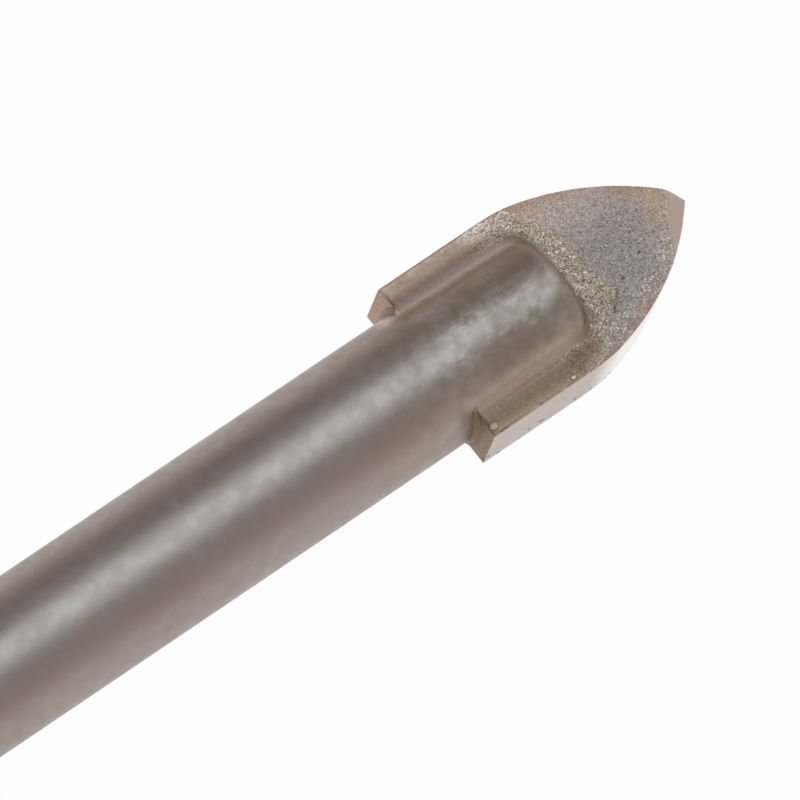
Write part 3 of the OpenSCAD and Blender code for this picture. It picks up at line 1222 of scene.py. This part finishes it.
# Dark clouds in the band, stronger towards its lower side, and a darker lower side.
CLOUD_DARKENING_Y = (0.8, 2.0)
CLOUD_DARKENING = (0.3, 0.05)
LOWER_DARKENING = (0.42, ("y", *LATER_Y))
COARSE_FLECK_SHARE = 0.45
UPPER_CORNER = (0.6, ("y", 2.35, 2.85), ("x", NOSE_X - 2.0, NOSE_X - 1.2))
LOWER_CORNER = (0.3, ("y", -2.35, -2.9), ("x", NOSE_X - 1.3, NOSE_X - 0.5))
THIN_RIM = (1.0, ("rim", 0.3, 0.0), ("edge", 0.2, 0.6))
# Painted shade in the crease ahead of the nose.
CREASE_GAPS = (0.4, 0.1)
CREASE_SHARE = 0.8
WIDER_CREASE = (0.2, ("y", 1.0, 2.0), ("x", NOSE_X - 0.2, NOSE_X - 0.8))
# Where the painted highlights along the crease lie, brighter above and dimmer below.
LIT_SIDE = (1.0, ("y", 1.2, 2.0), ("x", NOSE_X - 0.1, NOSE_X - 0.9))
DIM_HIGHLIGHT_SIDE = (1.0, ("y", 0.0, -1.5), ("x", NOSE_X - 0.2, NOSE_X - 1.2))
BRAZE_ROUGHNESS = (0.35, 0.5)


def wing_colour(tree, gap, outer, upper):
    """The smooth wings beside the nose, which differ between the two sides of the drill."""
    upper_wing = blend(tree, outer, UPPER_INNER, UPPER_OUTER)
    near_steel = ramp(tree, gap, *INNER_GAP)
    return layered(tree, LOWER_NEAR, (near_steel, LOWER_INNER), (outer, LOWER_OUTER), (upper, upper_wing))


def band_colour(tree, at, grain, coarse, stain):
    """The granular band ahead of the nose."""
    golden_grain = blend(tree, coarse["Tone"], BRAZE_PINK, BRAZE_PALE_GOLD)
    # dark clouds that grow towards the lower side, and the lower side darker still
    band_darkening = product(tree, stain["Cloud"], ramp(tree, at["y"], *CLOUD_DARKENING_Y, *CLOUD_DARKENING))
    band_darkening = largest(tree, band_darkening, patch(tree, at, LOWER_DARKENING))
    # flecks painted as glints
    bright = largest(tree, grain["Fleck"], product(tree, coarse["Fleck"], COARSE_FLECK_SHARE))
    coats = ((grain["Tone"], golden_grain), (band_darkening, UPPER_INNER), (bright, BRAZE_FLECK))
    return layered(tree, BRAZE_DULL, *coats)


def make_braze():
    material, tree, skin = new_material("granular braze")
    at = places(tree)
    at["rim"] = stored(tree, "rim_mm")
    at["edge"] = calc(tree, "SUBTRACT", HALF_WIDTH, calc(tree, "ABSOLUTE", at["y"]))
    gap = stored(tree, "steel_gap_mm")
    smooth_sheen = stored(tree, "smooth_sheen")
    upper = ramp(tree, at["y"], *UPPER_Y)

    def by_side(lower_span, upper_span):
        """A span that differs between the two sides of the drill."""
        return [ramp(tree, upper, 0, 1, *ends) for ends in zip(lower_span, upper_span)]

    later = ramp(tree, at["y"], *LATER_Y, 0.0, BAND_LATER)
    front = ramp(tree, calc(tree, "SUBTRACT", at["x"], later), *BAND_X)
    outer = ramp(tree, at["edge"], *by_side(LOWER_OUTER_EDGE, UPPER_OUTER_EDGE))
    away = ramp(tree, gap, *by_side(LOWER_AWAY_GAP, UPPER_AWAY_GAP))
    grainy = ramp(tree, at["x"], *GRAINY_X, *GRAINY_SHARES)
    tilt = product(tree, away, largest(tree, product(tree, front, BAND_TILT), grainy), rest(tree, smooth_sheen))
    grain = use(tree, grain_group, {"Size": 0.038, "Tilt": tilt, "Fleck Share": 0.12})
    coarse = use(tree, grain_group, {"Size": 0.07, "Fleck Share": 0.12})
    stain = use(tree, stain_group, {"Size": 0.5, "Offset": 70.0})

    golden = product(tree, stain["Second Cloud"], ramp(tree, outer, 0, 1, *GOLD_SHARES))
    golden = product(tree, golden, ramp(tree, upper, 0, 1, LOWER_GOLD, 1.0))
    # flecks in the grainy part painted gold, as glints
    golden = largest(tree, golden, product(tree, grain["Fleck"], grainy))
    bare = use(tree, tone_group, {"Tone": grain["Tone"]})["Colour"]
    gilt = blend(tree, grain["Tone"], LOWER_OUTER, BRAZE_PALE_GOLD)
    crease_start = calc(tree, "ADD", patch(tree, at, WIDER_CREASE), CREASE_GAPS[0])
    crease = ramp(tree, gap, crease_start, CREASE_GAPS[1])
    spread = layered(
        tree, wing_colour(tree, gap, outer, upper),
        (golden, BRAZE_PALE_GOLD),
        (front, band_colour(tree, at, grain, coarse, stain)),
        (patch(tree, at, UPPER_CORNER), BRAZE_CORNER),
        (patch(tree, at, LOWER_CORNER), BRAZE_PINK),
        (product(tree, patch(tree, at, THIN_RIM), front), blend(tree, stain["Cloud"], bare, gilt)),
        # painted shade in the crease ahead of the nose
        (product(tree, crease, front, CREASE_SHARE), UPPER_INNER),
    )
    # by the steel: painted shade in the crease, and painted highlights along its upper and lower sides
    base = layered(
        tree, CREASE_SHADE,
        (patch(tree, at, DIM_HIGHLIGHT_SIDE), BRAZE_DIM_HIGHLIGHT),
        (patch(tree, at, LIT_SIDE), BRAZE_LIGHT),
        (away, spread),
        # painted highlight on the tops of the beads
        (smooth_sheen, BRAZE_BEAD_SHEEN),
    )
    rough = ramp(tree, grain["Tone"], 0, 1, *BRAZE_ROUGHNESS)
    fill(tree, skin, {"Base Color": base, "Roughness": rough, "Normal": grain["Normal"], "Metallic": 0.9})
    return material


braze.data.materials.append(make_braze())
print("braze on", braze.name)

# %% [markdown]
# ## Floor and light
# The photograph is a plain studio shot on white. One wide soft light hangs overhead, a faint one fills
# the near side, the room around them is dim and a little warm, and the floor is white. The floor gives
# most of its white to the camera and to reflections as a steady glow, so that the steel shows a white
# table on its sides, and the rest is lit, so that it still takes the drill's shadow.

# %% Floor, lamps and room
FLOOR_SIZE = 3.0
FLOOR_COLOUR = colour(0.97, 0.965, 0.96)
FLOOR_GLOW = 0.97
KEY_DIRECTION = Vector((0.35, 0.06, 0.94))
KEY_DISTANCE = 0.42
KEY_SIZE = (0.9, 0.27)
KEY_RADIANCE = 1.5
KEY_COLOUR = (0.82, 1.05, 1.2)
FILL_DIRECTION = Vector((0.1, -0.85, 0.5))
FILL_DISTANCE = 0.5
FILL_SIZE = (0.8, 0.4)
FILL_RADIANCE = 0.22
FILL_COLOUR = (1.0, 0.98, 0.96)
STEEP = 0.7
ROOM_DIM = colour(0.36, 0.325, 0.305)
ROOM_LOW = colour(0.78, 0.735, 0.70)
ROOM_LOW_HEIGHT = 0.32


def make_floor():
    half = FLOOR_SIZE / 2 / MM
    z = shank_low[2]
    corners = [(-half, -half, z), (half, -half, z), (half, half, z), (-half, half, z)]
    floor = new_piece("floor", corners, [(0, 1, 2, 3)])
    material, tree, skin = new_material("white floor")
    tree.nodes.remove(skin)
    matt = add(tree, "BsdfDiffuse", {"Color": FLOOR_COLOUR}).outputs[0]
    glow = add(tree, "Emission", {"Strength": 1.0}).outputs[0]
    ray = add(tree, "LightPath").outputs
    seen = largest(tree, ray["Is Camera Ray"], ray["Is Glossy Ray"])
    seen = largest(tree, seen, ray["Is Transmission Ray"])
    mixed = add(tree, "MixShader", {0: product(tree, seen, FLOOR_GLOW), 1: matt, 2: glow}).outputs[0]
    fill(tree, tree.nodes["Material Output"], {"Surface": mixed})
    floor.data.materials.append(material)


def make_softbox(name, target, direction, distance, size, radiance, tint):
    lamp = bpy.data.lights.new(name, "AREA")
    lamp.shape = "RECTANGLE"
    lamp.size, lamp.size_y = size
    lamp.energy = radiance * math.pi * size[0] * size[1]
    lamp.color = tint
    softbox = bpy.data.objects.new(name, lamp)
    direction = direction.normalized()
    softbox.location = target + direction * distance
    softbox.rotation_euler = direction.to_track_quat("Z", "X" if abs(direction.z) > STEEP else "Y").to_euler()
    bpy.context.scene.collection.objects.link(softbox)


def make_room():
    world = bpy.data.worlds.new("studio room")
    world.use_nodes = True
    bpy.context.scene.world = world
    tree = world.node_tree
    height = add(tree, "SeparateXYZ", {0: add(tree, "TexCoord").outputs["Generated"]}).outputs[2]
    tint = blend(tree, ramp(tree, height, ROOM_LOW_HEIGHT, 0.0), ROOM_DIM, ROOM_LOW)
    fill(tree, tree.nodes["Background"], {"Color": tint})


head = Vector((NOSE_X, 0, 0)) * MM
make_floor()
make_softbox("key", head, KEY_DIRECTION, KEY_DISTANCE, KEY_SIZE, KEY_RADIANCE, KEY_COLOUR)
make_softbox("fill", head, FILL_DIRECTION, FILL_DISTANCE, FILL_SIZE, FILL_RADIANCE, FILL_COLOUR)
make_room()
bpy.context.scene.view_settings.view_transform = "Standard"
print("floor at %.2f mm" % shank_low[2])

# %% [markdown]
# ## Camera
# The photograph looks down on the head of the drill from behind, so the wings of the plate show their
# rear faces. In the picture the axis climbs at about 34 degrees; the point leans away from the camera by
# about 20 degrees, and the plate is rolled by about 13. Those three angles fix the camera's directions.
# Two parallel sides that stay parallel in the picture say that it was taken from far away with a long
# lens.

# %% Place the camera
AXIS_CLIMB = math.radians(33.95)
AXIS_LEAN = math.radians(20.5)
PLATE_ROLL = math.radians(12.8)
PIXELS_PER_MM = 31.8
POINT_PIXEL = (688.5, 193.2)
PICTURE_PIXELS = 800
LENS_MM = 1000
SENSOR_MM = 36
CLIP_START = 0.01


def make_camera():
    along = Vector((1, 0, 0))
    flat_up = Vector((0, 0, 1))
    side = along.cross(flat_up)
    climb = along * math.cos(AXIS_LEAN) + flat_up * math.cos(PLATE_ROLL) * math.sin(AXIS_LEAN)
    climb += side * math.sin(PLATE_ROLL) * math.sin(AXIS_LEAN)
    down = side * math.cos(PLATE_ROLL) - flat_up * math.sin(PLATE_ROLL)
    right = climb * math.cos(AXIS_CLIMB) + down * math.sin(AXIS_CLIMB)
    up = climb * math.sin(AXIS_CLIMB) - down * math.cos(AXIS_CLIMB)
    back = right.cross(up)
    point = Vector((POINT_X, 0, HALF_THICKNESS))
    to_middle = (PICTURE_PIXELS / 2 - POINT_PIXEL[0], POINT_PIXEL[1] - PICTURE_PIXELS / 2)
    target = point + (right * to_middle[0] + up * to_middle[1]) / PIXELS_PER_MM
    distance = PICTURE_PIXELS / PIXELS_PER_MM * LENS_MM / SENSOR_MM
    turn = Matrix((right, up, back)).transposed().to_4x4()
    camera = bpy.data.objects.new("camera", bpy.data.cameras.new("camera"))
    camera.data.lens = LENS_MM
    camera.data.sensor_width = SENSOR_MM
    camera.data.clip_start = CLIP_START
    camera.matrix_world = Matrix.Translation((target + back * distance) * MM) @ turn
    bpy.context.scene.collection.objects.link(camera)
    bpy.context.scene.camera = camera
    return distance


print("camera is %.0f mm away" % make_camera())
